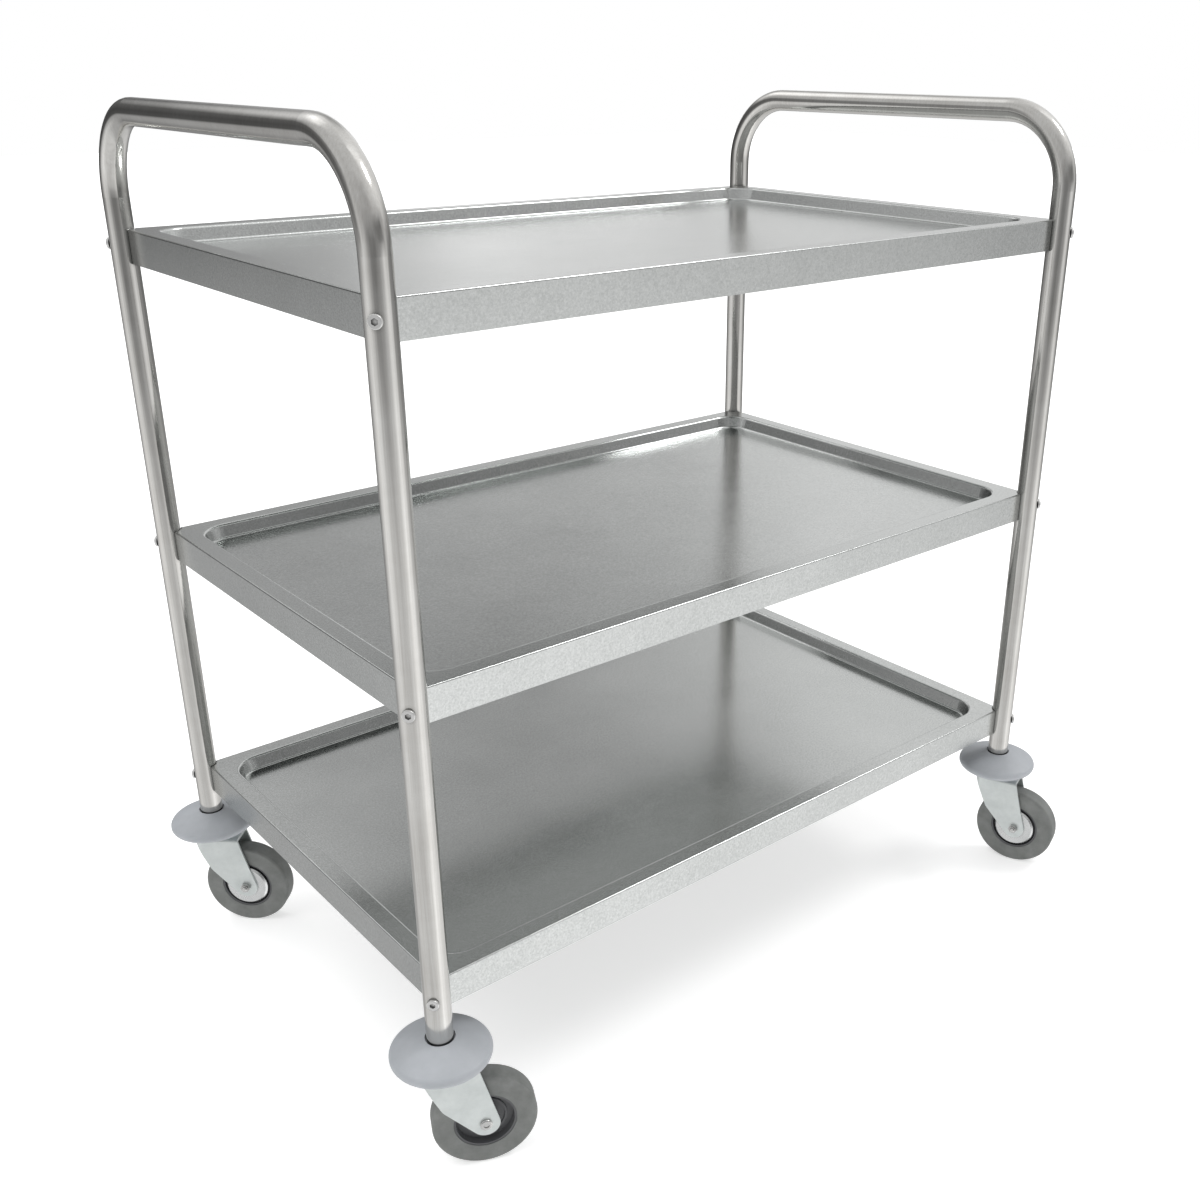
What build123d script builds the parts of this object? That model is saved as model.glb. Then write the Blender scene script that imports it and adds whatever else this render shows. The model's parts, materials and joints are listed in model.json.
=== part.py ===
from build123d import *
import os
from math import atan, cos, degrees, radians, sqrt

# Three-tier food service trolley, in millimetres.
# Origin: centre of the trolley at floor level. +X runs along the trays to the
# right, +Y to the rear, +Z up. Left and right are the two handle ends.

# ---------------------------------------------------------------- end frames
frame_length = 860.0          # over the outside of the two end frames
frame_width = 542.0           # over the outside of the legs
frame_height = 936.0          # floor to the top of the handles
tube_diameter = 25.0
tube_wall = 1.2
bend_radius = 80.0            # centre line of the handle bends
leg_foot_z = 147.0            # lower end of each leg

# --------------------------------------------------------------------- trays
tray_length = 831.0
tray_width = 514.0
tray_rim_z = {"bottom": 210.5, "middle": 500.0, "top": 813.5}
sheet = 1.0                   # steel sheet thickness
skirt_depth = 33.0            # height of the folded edge
fold_radius = 1.6             # outer radius of the fold between rim and skirt
hem_width = 12.0              # edge turned in under the skirt
rim_width = 20.0              # flat rim around the recess
recess_depth = 15.0
recess_run = 5.0              # how far the recess wall leans in
recess_corner = 30.0          # corner radius of the recess at the rim
floor_radius = 3.0            # radius where the recess wall meets the floor
rim_fold_radius = 3.5         # radius where the rim rolls over into the recess
notch_clearance = 0.3         # gap between a tray corner and the tube

# --------------------------------------------------------- tray corner bolts
bolt_drop = 14.0              # bolt axis below the rim
bolt_radius = 3.0
bolt_head_radius = 5.7
bolt_head_height = 2.8
bolt_head_edge = 0.9          # rounding of the head
bolt_socket_across = 5.0      # hexagon socket, across flats
bolt_socket_depth = 1.9
bolt_hole_radius = 3.25
bolt_end_reach = 23.0         # bolt end beyond the tube centre
washer_radius = 6.2
washer_thickness = 1.2
nut_across = 10.0
nut_thickness = 5.0

# ------------------------------------------------------------- foot and disc
plug_radius = 11.25           # just under the tube's bore
plug_length = 45.0
disc_radius = 47.5
disc_rim_bottom_z = 129.0
disc_top_z = 150.0
disc_hole_radius = 14.0
disc_boss_radius = 17.0
disc_rib_count = 6
disc_rib_thickness = 2.0

# -------------------------------------------------------------------- castor
wheel_radius = 50.0
trail = 35.0                  # wheel axle behind the swivel axis
stem_radius = 5.0
stem_top_z = 183.0
stem_head_radius = 8.5
stem_head_height = 3.0
running_clearance = 0.05      # radial, shaft in bore across a joint
race_top_z = 123.5
race_radius = 17.0
race_skirt_z = 116.4
ball_radius = 2.5
ball_ring_radius = 11.5
ball_count = 12
crown_bottom_z = 113.0
crown_thickness = 2.5
fork_gap = 25.8               # between the inner faces of the fork legs
fork_sheet = 2.2
fork_nose_x = -22.0           # front of the fork, ahead of the swivel axis
fork_heel_x = 31.5            # rear end of the crown
fork_nose_bend = 10.0         # outer radius between a leg and the nose
fork_top_bend = 4.0           # outer radius between a leg and the crown
fork_belly_radius = 20.0      # bulge of the leg's lower front edge
fork_belly = (12.6, 84.0)     # its centre, behind the axis and above the floor
fork_tip_radius = 13.5
axle_radius = 3.0
axle_hole_clearance = 0.1
axle_head_radius = 6.0
axle_head_height = 2.6
axle_head_dimple = 2.8
axle_nut_across = 10.0
axle_nut_thickness = 5.5
axle_end_stand = 1.8          # thread showing past the nut
sleeve_radius = 6.0
guard_radius = 25.0
guard_sheet = 0.8
tyre_width = 22.0
tyre_inner_radius = 30.0
tyre_shoulder = 3.2
hub_boss_radius = 11.0
hub_half_length = 11.6
hub_rim_half_width = 10.4
hub_web_half = 3.0

# Which way each wheel trails from its swivel axis, in degrees from +X, whether
# its axle nut is on the side to the right of that direction, and whether the
# wheel carries thread guards.
castors = {
    "front_left": (-25.0, False, False),
    "front_right": (-69.0, True, True),
    "rear_left": (-45.0, True, True),
    "rear_right": (75.0, True, True),
}

# ------------------------------------------------------------ derived values
tube_radius = tube_diameter / 2
leg_x = frame_length / 2 - tube_radius
leg_y = frame_width / 2 - tube_radius
handle_z = frame_height - tube_radius
crown_top_z = crown_bottom_z + crown_thickness
fork_half_gap = fork_gap / 2
fork_half_width = fork_half_gap + fork_sheet
corner_signs = {
    "front_left": (-1, -1),
    "front_right": (1, -1),
    "rear_left": (-1, 1),
    "rear_right": (1, 1),
}


def turned(points):
    """Solid of revolution about Z from (radius, height) points."""
    face = make_face(Polyline(*[(r, 0, z) for r, z in points], close=True))
    return revolve(face, Axis.Z)


def hexagon(across_flats, height):
    """Upright hexagonal prism standing on the XY plane."""
    return extrude(RegularPolygon(across_flats / sqrt(3), 6), amount=height)


def tube_end_frame(side):
    """One bent tube: front leg, handle and rear leg."""
    x = side * leg_x
    path = FilletPolyline(
        (x, -leg_y, leg_foot_z),
        (x, -leg_y, handle_z),
        (x, leg_y, handle_z),
        (x, leg_y, leg_foot_z),
        radius=bend_radius,
    )
    ring = Circle(tube_radius) - Circle(tube_radius - tube_wall)
    frame = sweep(Pos(x, -leg_y, leg_foot_z) * ring, path=path)
    drill = Cylinder(bolt_hole_radius, tube_diameter + 4)
    for rim_z in tray_rim_z.values():
        for front_or_rear in (-1, 1):
            frame -= corner_plane(side, front_or_rear, rim_z - bolt_drop) * drill
    return frame


def corner_plane(sign_x, sign_y, z):
    """Plane on a leg's centre line whose normal points diagonally inwards."""
    return Plane(
        origin=(sign_x * leg_x, sign_y * leg_y, z),
        x_dir=(0, 0, 1),
        z_dir=(-sign_x, -sign_y, 0),
    )


def edges_around_recess(body, z):
    """The ring of edges at height z where the rim meets the recess wall."""
    reach_x = tray_length / 2 - rim_width + 2.0
    reach_y = tray_width / 2 - rim_width + 2.0
    return [
        edge
        for edge in body.edges()
        if abs(edge.center().Z - z) < 0.01
        and abs(edge.center().X) < reach_x
        and abs(edge.center().Y) < reach_y
    ]


def tray(rim_z):
    """Pressed tray: rim, recess, folded skirt and turned-in hem, one sheet."""
    outline = Rectangle(tray_length, tray_width)
    for sign_x, sign_y in corner_signs.values():
        notch = Circle(tube_radius + notch_clearance)
        outline -= Pos(sign_x * leg_x, sign_y * leg_y) * notch
    down = (0, 0, -1)

    block = extrude(outline, amount=skirt_depth, dir=down)
    block = fillet(block.edges().group_by(Axis.Z)[-1], fold_radius)
    hollow = extrude(Pos(0, 0, -sheet) * offset(outline, -sheet), amount=skirt_depth, dir=down)
    hollow = fillet(hollow.edges().group_by(Axis.Z)[-1], fold_radius - sheet)

    lean = degrees(atan(recess_run / recess_depth))
    wall_run = sheet / cos(radians(lean))
    recess_length = tray_length - 2 * rim_width
    recess_width = tray_width - 2 * rim_width
    recess = extrude(
        RectangleRounded(recess_length, recess_width, recess_corner),
        amount=recess_depth,
        dir=down,
        taper=lean,
    )
    recess = fillet(recess.edges().group_by(Axis.Z)[0], floor_radius)
    pan = extrude(
        RectangleRounded(
            recess_length + 2 * wall_run,
            recess_width + 2 * wall_run,
            recess_corner + wall_run,
        ),
        amount=recess_depth + sheet,
        dir=down,
        taper=lean,
    )
    pan = fillet(pan.edges().group_by(Axis.Z)[0], floor_radius + sheet)

    hem = outline - offset(outline, -hem_width)
    body = block - hollow + pan - recess
    for z, radius in ((0.0, rim_fold_radius), (-sheet, rim_fold_radius - sheet)):
        body = fillet(edges_around_recess(body, z), radius)
    body += extrude(Pos(0, 0, sheet - skirt_depth) * hem, amount=sheet, dir=down)
    body = Pos(0, 0, rim_z) * body
    hole = Cylinder(bolt_hole_radius, 10, align=(Align.CENTER, Align.CENTER, Align.MIN))
    for sign_x, sign_y in corner_signs.values():
        body -= corner_plane(sign_x, sign_y, rim_z - bolt_drop) * Pos(0, 0, 10) * hole
    return body


def corner_bolt():
    """Button-head bolt along +Z; the tube centre is at Z = 0."""
    shank = Pos(0, 0, -tube_radius) * Cylinder(
        bolt_radius,
        tube_radius + bolt_end_reach,
        align=(Align.CENTER, Align.CENTER, Align.MIN),
    )
    shank = chamfer(shank.edges().group_by(Axis.Z)[-1], 0.6)
    head = Pos(0, 0, -tube_radius - bolt_head_height) * Cylinder(
        bolt_head_radius,
        bolt_head_height,
        align=(Align.CENTER, Align.CENTER, Align.MIN),
    )
    head = fillet(head.edges().group_by(Axis.Z)[0], bolt_head_edge)
    socket = hexagon(bolt_socket_across, bolt_socket_depth)
    return head + shank - Pos(0, 0, -tube_radius - bolt_head_height) * socket


def corner_washer():
    """Washer against the inside of a tray corner."""
    return turned(
        [
            (bolt_radius + 0.25, washer_z),
            (washer_radius, washer_z),
            (washer_radius, washer_z + washer_thickness),
            (bolt_radius + 0.25, washer_z + washer_thickness),
        ]
    )


def corner_nut():
    """Hexagon nut on the washer."""
    nut = hexagon(nut_across, nut_thickness) & Cylinder(
        nut_across / 2 * 1.12,
        nut_thickness * 3,
    )
    nut -= Cylinder(bolt_radius, nut_thickness * 3)
    return Pos(0, 0, washer_z + washer_thickness) * nut


washer_z = tube_radius + notch_clearance + sheet


def at_all_corners(piece):
    """The same fastener at every tray corner."""
    return Compound(
        children=[
            corner_plane(sign_x, sign_y, rim_z - bolt_drop) * piece
            for rim_z in tray_rim_z.values()
            for sign_x, sign_y in corner_signs.values()
        ]
    )


def foot_plug():
    """Plug inside the tube foot that grips the castor stem."""
    plug = Pos(0, 0, leg_foot_z) * Cylinder(
        plug_radius,
        plug_length,
        align=(Align.CENTER, Align.CENTER, Align.MIN),
    )
    plug = chamfer(plug.edges().group_by(Axis.Z)[-1], 2.0)
    return plug - Cylinder(stem_radius + 0.1, 1000)


def bumper_disc():
    """Domed plastic disc with a rounded lip, a centre boss and ribs below."""
    edge = [
        Line((stem_radius + 1, 0, race_top_z), (disc_boss_radius, 0, race_top_z)),
        Line((disc_boss_radius, 0, race_top_z), (disc_boss_radius, 0, 142.0)),
        Line((disc_boss_radius, 0, 142.0), (40.0, 0, 136.6)),
        Line((40.0, 0, 136.6), (43.2, 0, 133.4)),
        Line((43.2, 0, 133.4), (43.2, 0, disc_rim_bottom_z)),
        Line((43.2, 0, disc_rim_bottom_z), (44.4, 0, disc_rim_bottom_z)),
        ThreePointArc(
            (44.4, 0, disc_rim_bottom_z),
            (46.9, 0, disc_rim_bottom_z + 2.2),
            (disc_radius, 0, disc_rim_bottom_z + 5.0),
        ),
        ThreePointArc(
            (disc_radius, 0, disc_rim_bottom_z + 5.0),
            (46.4, 0, disc_rim_bottom_z + 8.4),
            (43.4, 0, disc_rim_bottom_z + 10.6),
        ),
        ThreePointArc(
            (43.4, 0, disc_rim_bottom_z + 10.6),
            (29.0, 0, disc_top_z - 4.2),
            (disc_hole_radius, 0, disc_top_z),
        ),
        Line((disc_hole_radius, 0, disc_top_z), (disc_hole_radius, 0, leg_foot_z)),
        Line((disc_hole_radius, 0, leg_foot_z), (stem_radius + 1, 0, leg_foot_z)),
        Line((stem_radius + 1, 0, leg_foot_z), (stem_radius + 1, 0, race_top_z)),
    ]
    disc = revolve(make_face(edge), Axis.Z)
    rib = Pos(30.0, 0, 134.5) * Box(27.0, disc_rib_thickness, 6.0)
    for i in range(disc_rib_count):
        disc += Rot(0, 0, 360 / disc_rib_count * i) * rib
    return disc


def castor_stem():
    """Kingpin: head under the fork, long stem up into the foot plug."""
    head_top = crown_bottom_z - 0.3
    stem = Pos(0, 0, head_top) * Cylinder(
        stem_radius,
        stem_top_z - head_top,
        align=(Align.CENTER, Align.CENTER, Align.MIN),
    )
    stem = chamfer(stem.edges().group_by(Axis.Z)[-1], 1.0)
    head = Pos(0, 0, head_top - stem_head_height) * Cylinder(
        stem_head_radius,
        stem_head_height,
        align=(Align.CENTER, Align.CENTER, Align.MIN),
    )
    head = fillet(head.edges().group_by(Axis.Z)[0], 1.5)
    return stem + head


def upper_race():
    """Pressed cup over the ball ring, fixed to the stem."""
    roof = race_top_z - 2.5
    return turned(
        [
            (stem_radius + 0.05, roof),
            (race_radius - 1.7, roof),
            (race_radius - 1.7, race_skirt_z),
            (race_radius, race_skirt_z),
            (race_radius, race_top_z - 1.2),
            (race_radius - 1.2, race_top_z),
            (stem_radius + 0.05, race_top_z),
        ]
    )


def bearing_balls():
    """Ring of balls between the fork crown and the upper race."""
    ball = Pos(ball_ring_radius, 0, crown_top_z + ball_radius) * Sphere(ball_radius)
    return Compound(
        children=[Rot(0, 0, 360 / ball_count * i) * ball for i in range(ball_count)]
    )


def fork_profile():
    """Side view of a fork leg: wide at the crown, round at the axle."""
    tip = Pos(trail, wheel_radius) * Circle(fork_tip_radius)
    belly = Pos(*fork_belly) * Circle(fork_belly_radius)
    length = fork_heel_x - fork_nose_x
    head = Pos((fork_nose_x + fork_heel_x) / 2, crown_top_z - 2.0) * Rectangle(length, 4.0)
    return make_hull(tip.edges() + belly.edges() + head.edges())


def fork_block(sheet_in, top_z, nose_bend, top_bend):
    """Rounded block over the fork, its faces moved in by sheet_in."""
    block = Box(
        100.0,
        2 * (fork_half_width - sheet_in),
        top_z,
        align=(Align.MIN, Align.CENTER, Align.MIN),
    )
    block = Pos(fork_nose_x + sheet_in, 0, 0) * block
    nose = block.edges().filter_by(Axis.Z).group_by(Axis.X)[0]
    block = fillet(nose, nose_bend)
    top = block.faces().sort_by(Axis.Z)[-1].edges()
    heel = top.sort_by(Axis.X)[-1]
    return fillet([e for e in top if e != heel], top_bend)


def castor_fork():
    """Pressed fork: crown, two tapering legs and a short rounded nose."""
    fork = fork_block(0.0, crown_top_z, fork_nose_bend, fork_top_bend)
    fork -= fork_block(
        fork_sheet,
        crown_bottom_z,
        fork_nose_bend - fork_sheet,
        fork_top_bend - fork_sheet,
    )
    fork &= extrude(Plane.XZ * fork_profile(), amount=fork_half_width + 1, both=True)
    fork -= Cylinder(stem_radius + running_clearance, 1000)
    axle_hole = Cylinder(axle_radius + axle_hole_clearance, 100)
    fork -= Pos(trail, 0, wheel_radius) * Rot(90, 0, 0) * axle_hole
    return fork


def on_axle(piece, nut_right=True):
    """Lay a piece made about Z along the axle; +Z becomes the nut's side."""
    turn = 90 if nut_right else -90
    return Pos(trail, 0, wheel_radius) * Rot(turn, 0, 0) * piece


def axle_bolt():
    """Axle bolt: low round head, plain shank."""
    reach = fork_half_width + axle_nut_thickness + axle_end_stand
    shank = Pos(0, 0, -fork_half_width) * Cylinder(
        axle_radius,
        fork_half_width + reach,
        align=(Align.CENTER, Align.CENTER, Align.MIN),
    )
    shank = chamfer(shank.edges().group_by(Axis.Z)[-1], 0.8)
    head = Pos(0, 0, -fork_half_width - axle_head_height) * Cylinder(
        axle_head_radius,
        axle_head_height,
        align=(Align.CENTER, Align.CENTER, Align.MIN),
    )
    head = fillet(head.edges().group_by(Axis.Z)[0], 1.4)
    dimple = Pos(0, 0, -fork_half_width - axle_head_height) * Cylinder(
        axle_head_dimple,
        0.8,
        align=(Align.CENTER, Align.CENTER, Align.MIN),
    )
    return head + shank - dimple


def axle_nut():
    """Lock nut with a round collar, outside the fork."""
    nut = hexagon(axle_nut_across, axle_nut_thickness - 1.5)
    collar = Pos(0, 0, axle_nut_thickness - 1.5) * Cylinder(
        axle_nut_across / 2 - 0.8,
        1.5,
        align=(Align.CENTER, Align.CENTER, Align.MIN),
    )
    nut = nut + collar - Cylinder(axle_radius, 50)
    return Pos(0, 0, fork_half_width) * nut


def axle_sleeve(guarded):
    """Spacer clamped between the fork legs; the hub turns on it."""
    half = fork_half_gap - (guard_sheet if guarded else 0.0)
    bore = axle_radius + axle_hole_clearance
    return turned(
        [(bore, -half), (sleeve_radius, -half), (sleeve_radius, half), (bore, half)]
    )


def thread_guards():
    """Two dished discs, one inside each fork leg."""
    outside = fork_half_gap
    inside = fork_half_gap - guard_sheet
    bore = axle_radius + axle_hole_clearance
    guard = turned(
        [
            (bore, inside),
            (guard_radius - 2.6, inside),
            (guard_radius - 0.8, inside - 1.5),
            (guard_radius, inside - 1.1),
            (guard_radius - 2.0, outside),
            (bore, outside),
        ]
    )
    return [guard, Rot(180, 0, 0) * guard]


def wheel_hub():
    """Moulded hub: boss, thin web with a raised ring, and rim."""
    bore = sleeve_radius + running_clearance
    ring = hub_web_half + 1.6
    half = [
        (bore, hub_half_length),
        (hub_boss_radius, hub_half_length),
        (hub_boss_radius + 0.8, hub_web_half),
        (19.0, hub_web_half),
        (19.3, ring),
        (21.3, ring),
        (21.6, hub_web_half),
        (27.2, hub_web_half),
        (27.8, hub_rim_half_width),
        (tyre_inner_radius, hub_rim_half_width),
    ]
    return turned(half + [(r, -z) for r, z in reversed(half)])


def tyre():
    """Solid grey tyre with rounded shoulders."""
    band = turned(
        [
            (tyre_inner_radius, -tyre_width / 2),
            (wheel_radius, -tyre_width / 2),
            (wheel_radius, tyre_width / 2),
            (tyre_inner_radius, tyre_width / 2),
        ]
    )
    shoulders = [
        e for e in band.edges().filter_by(GeomType.CIRCLE) if abs(e.radius - wheel_radius) < 0.01
    ]
    return fillet(shoulders, tyre_shoulder)


def trolley_nodes():
    """Every piece of the trolley by node name, in place."""
    nodes = {
        "end_frame_left": tube_end_frame(-1),
        "end_frame_right": tube_end_frame(1),
        "tray_bolts": at_all_corners(corner_bolt()),
        "tray_washers": at_all_corners(corner_washer()),
        "tray_nuts": at_all_corners(corner_nut()),
    }
    for level, rim_z in tray_rim_z.items():
        nodes["tray_" + level] = tray(rim_z)
    for corner, (heading, nut_right, guarded) in castors.items():
        sign_x, sign_y = corner_signs[corner]
        foot = Pos(sign_x * leg_x, sign_y * leg_y, 0)
        swivel = foot * Rot(0, 0, heading)
        nodes["foot_plug_" + corner] = foot * foot_plug()
        nodes["bumper_disc_" + corner] = foot * bumper_disc()
        nodes["castor_stem_" + corner] = foot * castor_stem()
        nodes["upper_race_" + corner] = foot * upper_race()
        nodes["bearing_balls_" + corner] = swivel * bearing_balls()
        nodes["castor_fork_" + corner] = swivel * castor_fork()
        nodes["axle_bolt_" + corner] = swivel * on_axle(axle_bolt(), nut_right)
        nodes["axle_nut_" + corner] = swivel * on_axle(axle_nut(), nut_right)
        nodes["axle_sleeve_" + corner] = swivel * on_axle(axle_sleeve(guarded))
        nodes["wheel_hub_" + corner] = swivel * on_axle(wheel_hub())
        nodes["tyre_" + corner] = swivel * on_axle(tyre())
        if guarded:
            guards = [on_axle(guard) for guard in thread_guards()]
            nodes["thread_guards_" + corner] = swivel * Compound(children=guards)
    return nodes


os.makedirs("parts", exist_ok=True)
for name, shape in trolley_nodes().items():
    export_step(shape, "parts/" + name + ".step")
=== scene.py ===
import json
import math

import bpy
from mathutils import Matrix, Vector

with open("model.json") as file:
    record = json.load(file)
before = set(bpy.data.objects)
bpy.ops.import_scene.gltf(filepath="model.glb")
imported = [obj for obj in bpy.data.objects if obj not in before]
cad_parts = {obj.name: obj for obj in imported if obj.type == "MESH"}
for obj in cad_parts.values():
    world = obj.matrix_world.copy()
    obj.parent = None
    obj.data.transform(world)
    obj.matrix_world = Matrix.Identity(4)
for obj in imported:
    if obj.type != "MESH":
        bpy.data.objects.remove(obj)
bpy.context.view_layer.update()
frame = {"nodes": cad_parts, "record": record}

nodes = frame["nodes"]

# One food service trolley in a white studio, in metres; angles in degrees.
# +X is the trolley's right-hand end, +Y its rear side, +Z up.

# ------------------------------------------------------------------- camera
camera_place = (-0.8714, -1.1123, 0.9721)
camera_turn = (66.65, -0.48, -40.87)
camera_lens = 39.07                # millimetres
camera_sensor = 36.0
camera_shift = (-0.0694, 0.0174)

# -------------------------------------------------------------------- floor
floor_glow = 0.5
floor_reach = 14.0                 # from the middle to each edge

white = (1.0, 1.0, 1.0, 1.0)

# Sockets of a colour Mix node.
mix_factor = 0
mix_first = 6
mix_second = 7
mix_color = 2


# ----------------------------------------------------------- material helpers
class Shading:
    """A new material with its Principled shader and a few node shortcuts."""

    def __init__(self, name, color, metallic, roughness):
        self.material = bpy.data.materials.new(name)
        self.material.use_nodes = True
        self.tree = self.material.node_tree
        self.shader = self.tree.nodes["Principled BSDF"]
        self.shader.inputs["Base Color"].default_value = (*color, 1.0)
        self.shader.inputs["Metallic"].default_value = metallic
        self.shader.inputs["Roughness"].default_value = roughness
        self.coordinates = self.tree.nodes.new("ShaderNodeTexCoord")

    def link(self, output, input_socket):
        """Join two sockets."""
        self.tree.links.new(output, input_socket)

    def math(self, operation, *values):
        """One Math node; each value is a number or a socket."""
        node = self.tree.nodes.new("ShaderNodeMath")
        node.operation = operation
        for socket, value in zip(node.inputs, values):
            if isinstance(value, (int, float)):
                socket.default_value = value
            else:
                self.link(value, socket)
        return node.outputs[0]

    def place(self, scale):
        """Object coordinates, stretched."""
        node = self.tree.nodes.new("ShaderNodeMapping")
        node.vector_type = "POINT"
        node.inputs["Scale"].default_value = scale
        self.link(self.coordinates.outputs["Object"], node.inputs["Vector"])
        return node.outputs["Vector"]

    def noise(self, scale, detail, roughness):
        """Noise with scale features per metre, one number or one per axis."""
        if isinstance(scale, (int, float)):
            scale = (scale, scale, scale)
        node = self.tree.nodes.new("ShaderNodeTexNoise")
        node.inputs["Scale"].default_value = 1.0
        node.inputs["Detail"].default_value = detail
        node.inputs["Roughness"].default_value = roughness
        self.link(self.place(scale), node.inputs["Vector"])
        return node.outputs["Fac"]

    def spread(self, value, low, high, from_low=0.3, from_high=0.7):
        """Map a value to low..high; the default starting range suits noise."""
        node = self.tree.nodes.new("ShaderNodeMapRange")
        node.inputs["From Min"].default_value = from_low
        node.inputs["From Max"].default_value = from_high
        node.inputs["To Min"].default_value = low
        node.inputs["To Max"].default_value = high
        self.link(value, node.inputs["Value"])
        return node.outputs["Result"]

    def blend(self, factor, dark, light):
        """Blend two colours by a socket's value."""
        node = self.tree.nodes.new("ShaderNodeMix")
        node.data_type = "RGBA"
        for socket, value in ((node.inputs[mix_first], dark), (node.inputs[mix_second], light)):
            socket.default_value = (*value, 1.0)
        self.link(factor, node.inputs[mix_factor])
        return node.outputs[mix_color]

    def grime_and_painted_shade(self, distance, dark, light):
        """Painted shade in narrow corners and recesses, from ambient occlusion, as a factor for the
        colour.
        """
        node = self.tree.nodes.new("ShaderNodeAmbientOcclusion")
        node.samples = 6
        node.inputs["Distance"].default_value = distance
        return self.spread(node.outputs["AO"], dark, light, 0.35, 0.95)

    def tint(self, color_socket, factor):
        """A colour multiplied by a factor."""
        node = self.tree.nodes.new("ShaderNodeVectorMath")
        node.operation = "SCALE"
        self.link(color_socket, node.inputs[0])
        self.link(factor, node.inputs["Scale"])
        return node.outputs[0]

    def color(self, socket):
        """Set the base colour."""
        self.link(socket, self.shader.inputs["Base Color"])

    def roughness(self, socket):
        """Set the roughness."""
        self.link(socket, self.shader.inputs["Roughness"])

    def bump(self, *layers):
        """Stack bump layers given as (height, strength, distance)."""
        normal = None
        for height, strength, distance in layers:
            node = self.tree.nodes.new("ShaderNodeBump")
            node.inputs["Strength"].default_value = strength
            node.inputs["Distance"].default_value = distance
            self.link(height, node.inputs["Height"])
            if normal is not None:
                self.link(normal, node.inputs["Normal"])
            normal = node.outputs["Normal"]
        self.link(normal, self.shader.inputs["Normal"])


end_face_tilt = 0.7      # a face whose normal has more X than this faces an end


def tray_steel():
    """Satin stainless sheet: fine even grain, soft clouds and faint rolling lines."""
    look = Shading("satin_tray_steel", (0.57, 0.58, 0.575), 1.0, 0.22)
    along_x = look.noise((26.0, 900.0, 900.0), 3.0, 0.6)
    along_y = look.noise((900.0, 26.0, 900.0), 3.0, 0.6)
    normal = look.tree.nodes.new("ShaderNodeSeparateXYZ")
    look.link(look.coordinates.outputs["Normal"], normal.inputs[0])
    end_face = look.math("GREATER_THAN", look.math("ABSOLUTE", normal.outputs["X"]), end_face_tilt)
    flip = look.math("SUBTRACT", along_y, along_x)
    rolled = look.math("MULTIPLY_ADD", end_face, flip, along_x)
    grain = look.noise(640.0, 3.0, 0.7)
    speckle = look.noise(430.0, 2.0, 0.6)
    clouds = look.noise(7.0, 4.0, 0.6)
    even = look.math("MULTIPLY_ADD", speckle, 0.28, look.math("MULTIPLY", grain, 0.50))
    tone = look.math("MULTIPLY_ADD", clouds, 0.22, even)
    shade = look.spread(tone, 0.0, 1.0, 0.38, 0.62)
    look.color(look.blend(shade, (0.48, 0.493, 0.485), (0.655, 0.668, 0.66)))
    rough = look.math("ADD", look.spread(speckle, 0.175, 0.205), look.spread(clouds, -0.02, 0.03))
    look.roughness(look.math("ADD", rough, look.spread(rolled, -0.02, 0.02)))
    waves = look.noise((3.0, 4.0, 4.0), 1.0, 0.4)
    look.bump((waves, 0.12, 0.003), (rolled, 0.04, 0.0003), (grain, 0.10, 0.0003))
    return look.material


def tube_steel():
    """Polished stainless tube with fine drawn lines and faint smears."""
    look = Shading("polished_tube_steel", (0.66, 0.65, 0.625), 1.0, 0.10)
    drawn = look.noise((500.0, 500.0, 11.0), 4.0, 0.65)
    smears = look.noise(17.0, 4.0, 0.65)
    grime_and_painted_shade = look.noise((120.0, 120.0, 30.0), 4.0, 0.6)
    tone = look.math("MULTIPLY_ADD", drawn, 0.5, look.math("MULTIPLY", smears, 0.5))
    steel = look.blend(look.spread(tone, 0.0, 1.0), (0.56, 0.545, 0.52), (0.73, 0.725, 0.705))
    # The colour carries painted shade: darker in corners and recesses, from ambient occlusion.
    look.color(look.tint(steel, look.grime_and_painted_shade(0.004, 0.35, 1.0)))
    rough = look.math("ADD", look.spread(drawn, 0.06, 0.11), look.spread(smears, -0.02, 0.03))
    look.roughness(look.math("ADD", rough, look.spread(grime_and_painted_shade, -0.01, 0.04)))
    ripples = look.noise((9.0, 9.0, 5.0), 1.0, 0.4)
    look.bump((ripples, 0.2, 0.001), (grime_and_painted_shade, 0.05, 0.0003), (drawn, 0.06, 0.0002))
    return look.material


plating_shade = 0.86     # how dark the duller clouds of the plating are


def bright_steel(name, color, low, high, painted_shade_dark=0.65):
    """Small bright plated pieces: fine scratches, uneven gloss, painted shade in the corners."""
    look = Shading(name, color, 1.0, low)
    scratches = look.noise((900.0, 900.0, 260.0), 3.0, 0.6)
    clouds = look.noise(60.0, 3.0, 0.6)
    dark = tuple(channel * plating_shade for channel in color)
    plating = look.blend(look.spread(clouds, 0.0, 1.0), dark, color)
    # The colour carries painted shade: darker in corners and recesses, from ambient occlusion.
    look.color(look.tint(plating, look.grime_and_painted_shade(0.003, painted_shade_dark, 1.0)))
    look.roughness(look.spread(scratches, low, high))
    look.bump((scratches, 0.12, 0.0002))
    return look.material


def zinc_steel():
    """Pale zinc plating on pressed steel, with soft clouds and small marks."""
    look = Shading("zinc_plated_steel", (0.72, 0.76, 0.75), 0.75, 0.36)
    clouds = look.noise(45.0, 4.0, 0.6)
    marks = look.noise(260.0, 5.0, 0.7)
    look.color(look.blend(look.spread(clouds, 0.0, 1.0), (0.66, 0.70, 0.69), (0.80, 0.84, 0.83)))
    look.roughness(look.math("ADD", look.spread(marks, 0.30, 0.44), look.spread(clouds, -0.04, 0.04)))
    look.bump((clouds, 0.1, 0.0008), (marks, 0.1, 0.0002))
    return look.material


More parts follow.
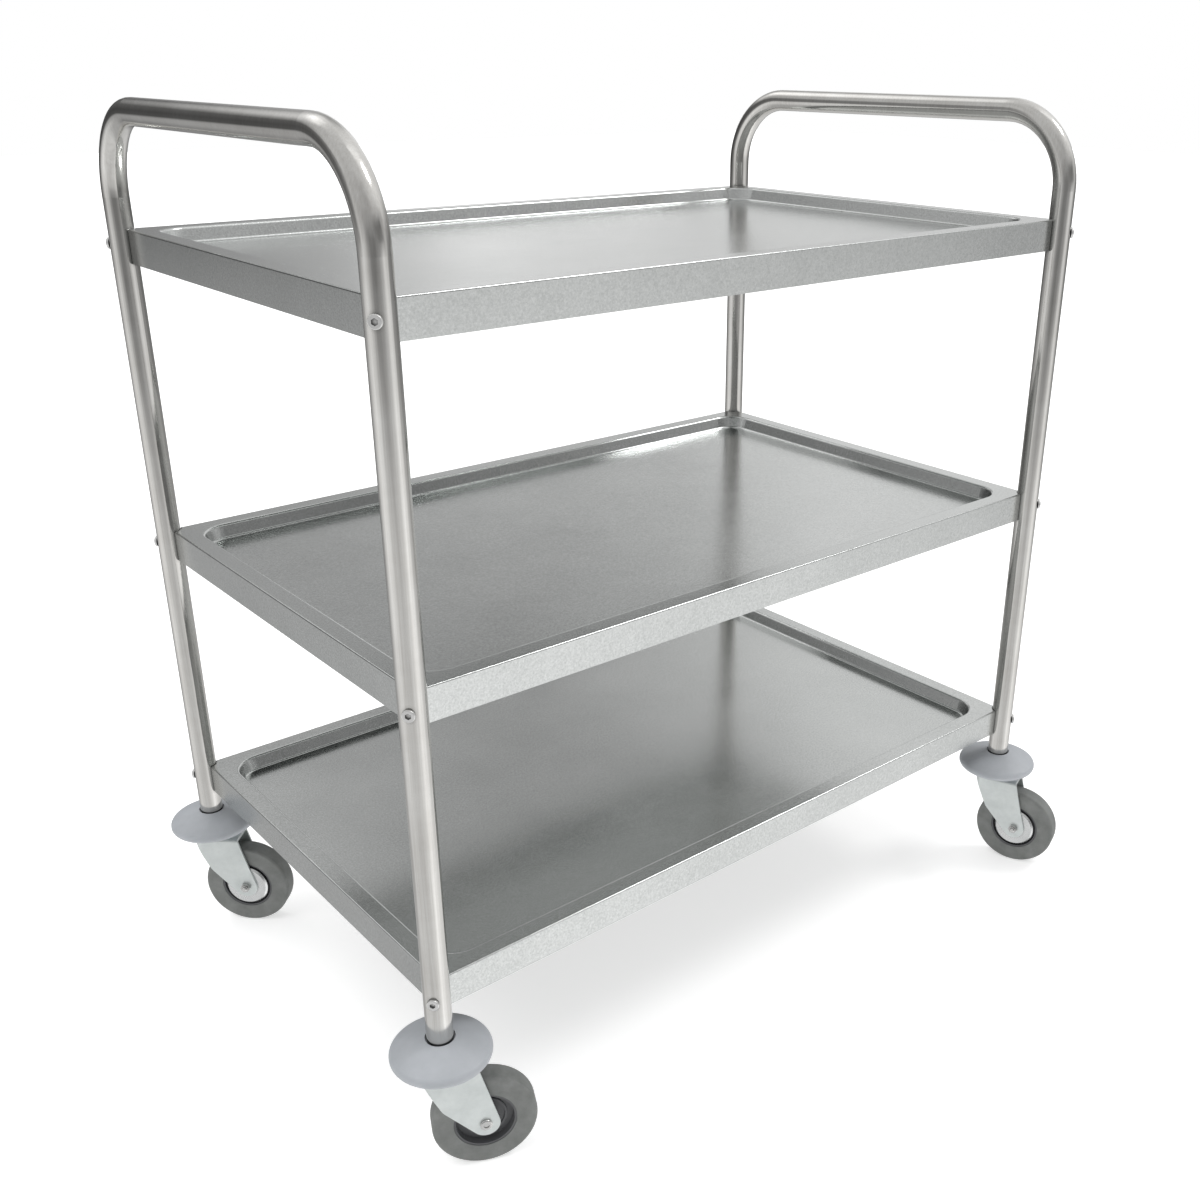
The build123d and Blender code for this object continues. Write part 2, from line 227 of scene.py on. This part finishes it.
def moulded_plastic(name, dark, light, low, high, grain=900.0):
    """Moulded plastic: fine texture, slight colour drift, soft gloss."""
    look = Shading(name, light, 0.0, low)
    drift = look.noise(24.0, 4.0, 0.6)
    fine = look.noise(grain, 2.0, 0.5)
    flow = look.noise(90.0, 3.0, 0.5)
    look.color(look.blend(look.spread(drift, 0.0, 1.0), dark, light))
    look.roughness(look.math("ADD", look.spread(fine, low, high), look.spread(drift, -0.03, 0.03)))
    look.bump((flow, 0.12, 0.0006), (fine, 0.12, 0.0002))
    return look.material


def tyre_rubber():
    """Grey rubber with dusty patches, flow marks and tiny pits."""
    look = Shading("grey_tyre_rubber", (0.17, 0.172, 0.165), 0.0, 0.7)
    dust = look.noise(55.0, 5.0, 0.65)
    pits = look.noise(700.0, 3.0, 0.6)
    flow = look.noise(130.0, 4.0, 0.6)
    look.color(look.blend(look.spread(dust, 0.0, 1.0), (0.155, 0.162, 0.155), (0.235, 0.243, 0.235)))
    look.roughness(look.spread(dust, 0.58, 0.78))
    look.bump((flow, 0.15, 0.0006), (pits, 0.25, 0.0003))
    return look.material


def floor_material():
    """Matt pale floor that glows a little, so that shadows on it stay faint."""
    look = Shading("studio_floor", (0.80, 0.80, 0.80), 0.0, 0.8)
    look.shader.inputs["Emission Color"].default_value = white
    look.shader.inputs["Emission Strength"].default_value = floor_glow
    fine = look.noise(3.0, 2.0, 0.5)
    look.color(look.blend(look.spread(fine, 0.0, 1.0), (0.79, 0.79, 0.79), (0.81, 0.81, 0.81)))
    return look.material


bolt_steel = bright_steel("bright_bolt_steel", (0.70, 0.70, 0.69), 0.16, 0.30)
# The last number is how dark the painted shade gets in the bolt heads' sockets.
bolt_head_steel = bright_steel("frosted_bolt_steel", (0.92, 0.92, 0.91), 0.36, 0.48, 0.25)
materials = {
    "polished_tube": tube_steel(),
    "tray_steel": tray_steel(),
    "bolt_steel": bolt_steel,
    "zinc_plate": zinc_steel(),
    "ball_steel": bright_steel("bearing_ball_steel", (0.62, 0.62, 0.63), 0.08, 0.16),
    "guard_steel": bright_steel("thread_guard_steel", (0.78, 0.79, 0.79), 0.18, 0.34),
    "plug_plastic": moulded_plastic(
        "dark_plug_nylon", (0.05, 0.05, 0.055), (0.09, 0.09, 0.10), 0.4, 0.6
    ),
    "disc_plastic": moulded_plastic(
        "blue_grey_disc_plastic", (0.385, 0.405, 0.43), (0.46, 0.48, 0.51), 0.34, 0.48
    ),
    "hub_plastic": moulded_plastic(
        "dark_hub_plastic", (0.085, 0.087, 0.092), (0.125, 0.127, 0.132), 0.42, 0.6
    ),
    "tyre_rubber": tyre_rubber(),
}
slot_of = {part["node"]: part["material_slot"] for part in frame["record"]["subparts"]}
for node, piece in nodes.items():
    piece.data.materials.clear()
    piece.data.materials.append(materials[slot_of[node]])
nodes["tray_bolts"].data.materials[0] = bolt_head_steel

# --------------------------------------------------------- floor, world, lamps
floor_mesh = bpy.data.meshes.new("floor")
floor_corners = [(x * floor_reach, y * floor_reach, 0) for x, y in ((-1, -1), (1, -1), (1, 1), (-1, 1))]
floor_mesh.from_pydata(floor_corners, [], [(0, 1, 2, 3)])
floor = bpy.data.objects.new("floor", floor_mesh)
bpy.context.scene.collection.objects.link(floor)
floor_mesh.materials.append(floor_material())
floor.visible_glossy = False


# What the steel reflects: brightness of the studio by azimuth in degrees (0 is
# +X, 90 is +Y), one row for each elevation, blended between rows.
studio_rows = (
    (-34.0, (
        (-180, 0.80), (-150, 0.74), (-118, 0.78), (-90, 0.98), (-70, 1.30), (-45, 1.15),
        (-20, 0.95), (10, 0.85), (60, 0.70), (95, 0.48), (115, 0.52), (145, 0.80),
    )),
    (-19.0, (
        (-180, 0.95), (-165, 0.76), (-118, 0.64), (-90, 0.86), (-64, 1.20), (-45, 1.10),
        (-25, 0.68), (0, 0.46), (60, 0.38), (92, 0.24), (108, 0.46), (130, 0.85), (150, 1.08),
    )),
    (-9.0, (
        (-180, 0.72), (-160, 0.46), (-147, 0.28), (-128, 0.24), (-100, 0.36), (-86, 0.52),
        (-62, 0.90), (-42, 0.78), (-26, 0.32), (10, 0.22), (50, 0.22), (90, 0.17),
        (107, 0.40), (122, 0.48), (140, 0.82), (160, 0.88),
    )),
    (-4.0, (
        (-180, 0.68), (-155, 0.36), (-140, 0.24), (-120, 0.22), (-94, 0.36), (-62, 0.90),
        (-40, 0.70), (-24, 0.30), (10, 0.16), (55, 0.12), (90, 0.07), (112, 0.10),
        (126, 0.18), (140, 0.28), (152, 0.56), (162, 0.80),
    )),
    (6.0, (
        (-180, 0.60), (-147, 0.28), (-120, 0.24), (-92, 0.30), (-74, 0.24), (-58, 0.30),
        (-35, 0.60), (-15, 0.40), (8, 0.40), (25, 0.62), (38, 0.76), (47, 0.84),
        (53, 1.04), (58, 1.16), (61, 0.82), (64, 0.46), (68, 0.34), (80, 0.09),
        (104, 0.07), (118, 0.10), (130, 0.14), (142, 0.26), (156, 0.64),
    )),
    (17.0, (
        (-180, 0.55), (-120, 0.36), (-88, 0.24), (-62, 0.22), (-44, 0.50), (-20, 0.80),
        (10, 0.88), (34, 0.95), (42, 1.00), (46, 0.90), (49, 0.66), (54, 0.62), (61, 0.64),
        (68, 0.46), (78, 0.16), (98, 0.13), (120, 0.14), (140, 0.32), (158, 0.62),
    )),
    (20.5, (
        (-180, 0.56), (-120, 0.40), (-88, 0.30), (-62, 0.28), (-44, 0.55), (-20, 0.88),
        (10, 0.88), (34, 0.88), (42, 0.88), (46, 0.62), (51, 0.43), (55, 0.37), (62, 0.44),
        (70, 0.48), (80, 0.38), (97, 0.34), (116, 0.36), (145, 0.66),
    )),
    (25.0, (
        (-180, 0.58), (-120, 0.44), (-85, 0.44), (-60, 0.54), (-20, 0.96), (10, 0.92),
        (34, 0.92), (43, 1.02), (47, 0.90), (52, 0.74), (57, 0.46), (66, 0.50), (78, 0.66),
        (95, 0.80), (120, 0.50), (150, 0.66),
    )),
    (30.0, (
        (-180, 0.60), (-120, 0.50), (-75, 0.62), (-20, 1.00), (20, 0.92), (38, 0.92),
        (43, 0.74), (47, 0.46), (54, 0.40), (63, 0.46), (72, 0.62), (95, 0.95), (120, 0.60),
        (150, 0.66),
    )),
    (42.0, (
        (-180, 0.62), (-120, 0.50), (-60, 0.85), (-20, 1.10), (30, 0.90), (58, 0.55),
        (74, 1.10), (92, 1.80), (108, 1.40), (124, 0.60), (150, 0.62),
    )),
    (62.0, (
        (-180, 0.66), (-90, 0.72), (-20, 1.20), (45, 0.85), (100, 0.75), (150, 0.68),
    )),
)


def build_world():
    """Studio surroundings for reflections, with a white backdrop behind."""
    world = bpy.data.worlds.new("studio")
    bpy.context.scene.world = world
    world.use_nodes = True
    tree = world.node_tree
    tree.nodes.clear()
    link = tree.links.new
    coordinates = tree.nodes.new("ShaderNodeTexCoord")
    parts = tree.nodes.new("ShaderNodeSeparateXYZ")
    link(coordinates.outputs["Generated"], parts.inputs[0])
    turn = tree.nodes.new("ShaderNodeMath")
    turn.operation = "ARCTAN2"
    link(parts.outputs["Y"], turn.inputs[0])
    link(parts.outputs["X"], turn.inputs[1])
    around = tree.nodes.new("ShaderNodeMapRange")
    around.inputs["From Min"].default_value = -math.pi
    around.inputs["From Max"].default_value = math.pi
    link(turn.outputs[0], around.inputs["Value"])
    total = None
    height = None
    for elevation, stops in studio_rows:
        ramp = tree.nodes.new("ShaderNodeValToRGB")
        ramp.color_ramp.interpolation = "EASE"
        wrapped = (*stops, (180, stops[0][1]))
        elements = ramp.color_ramp.elements
        while len(elements) < len(wrapped):
            elements.new(0.5)
        for element, (azimuth, value) in zip(elements, wrapped):
            element.position = (azimuth + 180) / 360
            element.color = (value, value, value, 1.0)
        link(around.outputs["Result"], ramp.inputs["Fac"])
        if total is None:
            total = ramp.outputs["Color"]
        else:
            rise = tree.nodes.new("ShaderNodeMapRange")
            rise.inputs["From Min"].default_value = math.sin(math.radians(height))
            rise.inputs["From Max"].default_value = math.sin(math.radians(elevation))
            link(parts.outputs["Z"], rise.inputs["Value"])
            mix = tree.nodes.new("ShaderNodeMix")
            mix.data_type = "RGBA"
            link(rise.outputs["Result"], mix.inputs[mix_factor])
            link(total, mix.inputs[mix_first])
            link(ramp.outputs["Color"], mix.inputs[mix_second])
            total = mix.outputs[mix_color]
        height = elevation
    room = tree.nodes.new("ShaderNodeBackground")
    link(total, room.inputs["Color"])
    backdrop = tree.nodes.new("ShaderNodeBackground")
    backdrop.inputs["Color"].default_value = white
    path = tree.nodes.new("ShaderNodeLightPath")
    choose = tree.nodes.new("ShaderNodeMixShader")
    link(path.outputs["Is Camera Ray"], choose.inputs[0])
    link(room.outputs[0], choose.inputs[1])
    link(backdrop.outputs[0], choose.inputs[2])
    output = tree.nodes.new("ShaderNodeOutputWorld")
    link(choose.outputs[0], output.inputs["Surface"])


def soft_sun(name, azimuth, elevation, spread, strength, mirrored):
    """A wide sun lamp with soft shadows; mirrored ones show in the steel."""
    data = bpy.data.lights.new(name, "SUN")
    data.energy = strength
    data.angle = math.radians(spread)
    lamp = bpy.data.objects.new(name, data)
    turn = math.radians(azimuth)
    rise = math.radians(elevation)
    level = math.cos(rise)
    toward = Vector((math.cos(turn) * level, math.sin(turn) * level, math.sin(rise)))
    lamp.rotation_euler = (-toward).to_track_quat("-Z", "Y").to_euler()
    lamp.visible_glossy = mirrored
    bpy.context.scene.collection.objects.link(lamp)


build_world()
soft_sun("key_sun", -25.0, 50.0, 16.0, 0.6, True)
soft_sun("top_sun", 150.0, 66.0, 60.0, 1.2, False)

camera_data = bpy.data.cameras.new("camera")
camera_data.sensor_width = camera_sensor
camera_data.lens = camera_lens
camera_data.shift_x, camera_data.shift_y = camera_shift
camera = bpy.data.objects.new("camera", camera_data)
camera.location = camera_place
camera.rotation_euler = [math.radians(angle) for angle in camera_turn]
bpy.context.scene.collection.objects.link(camera)
bpy.context.scene.camera = camera
bpy.context.scene.view_settings.view_transform = "Standard"
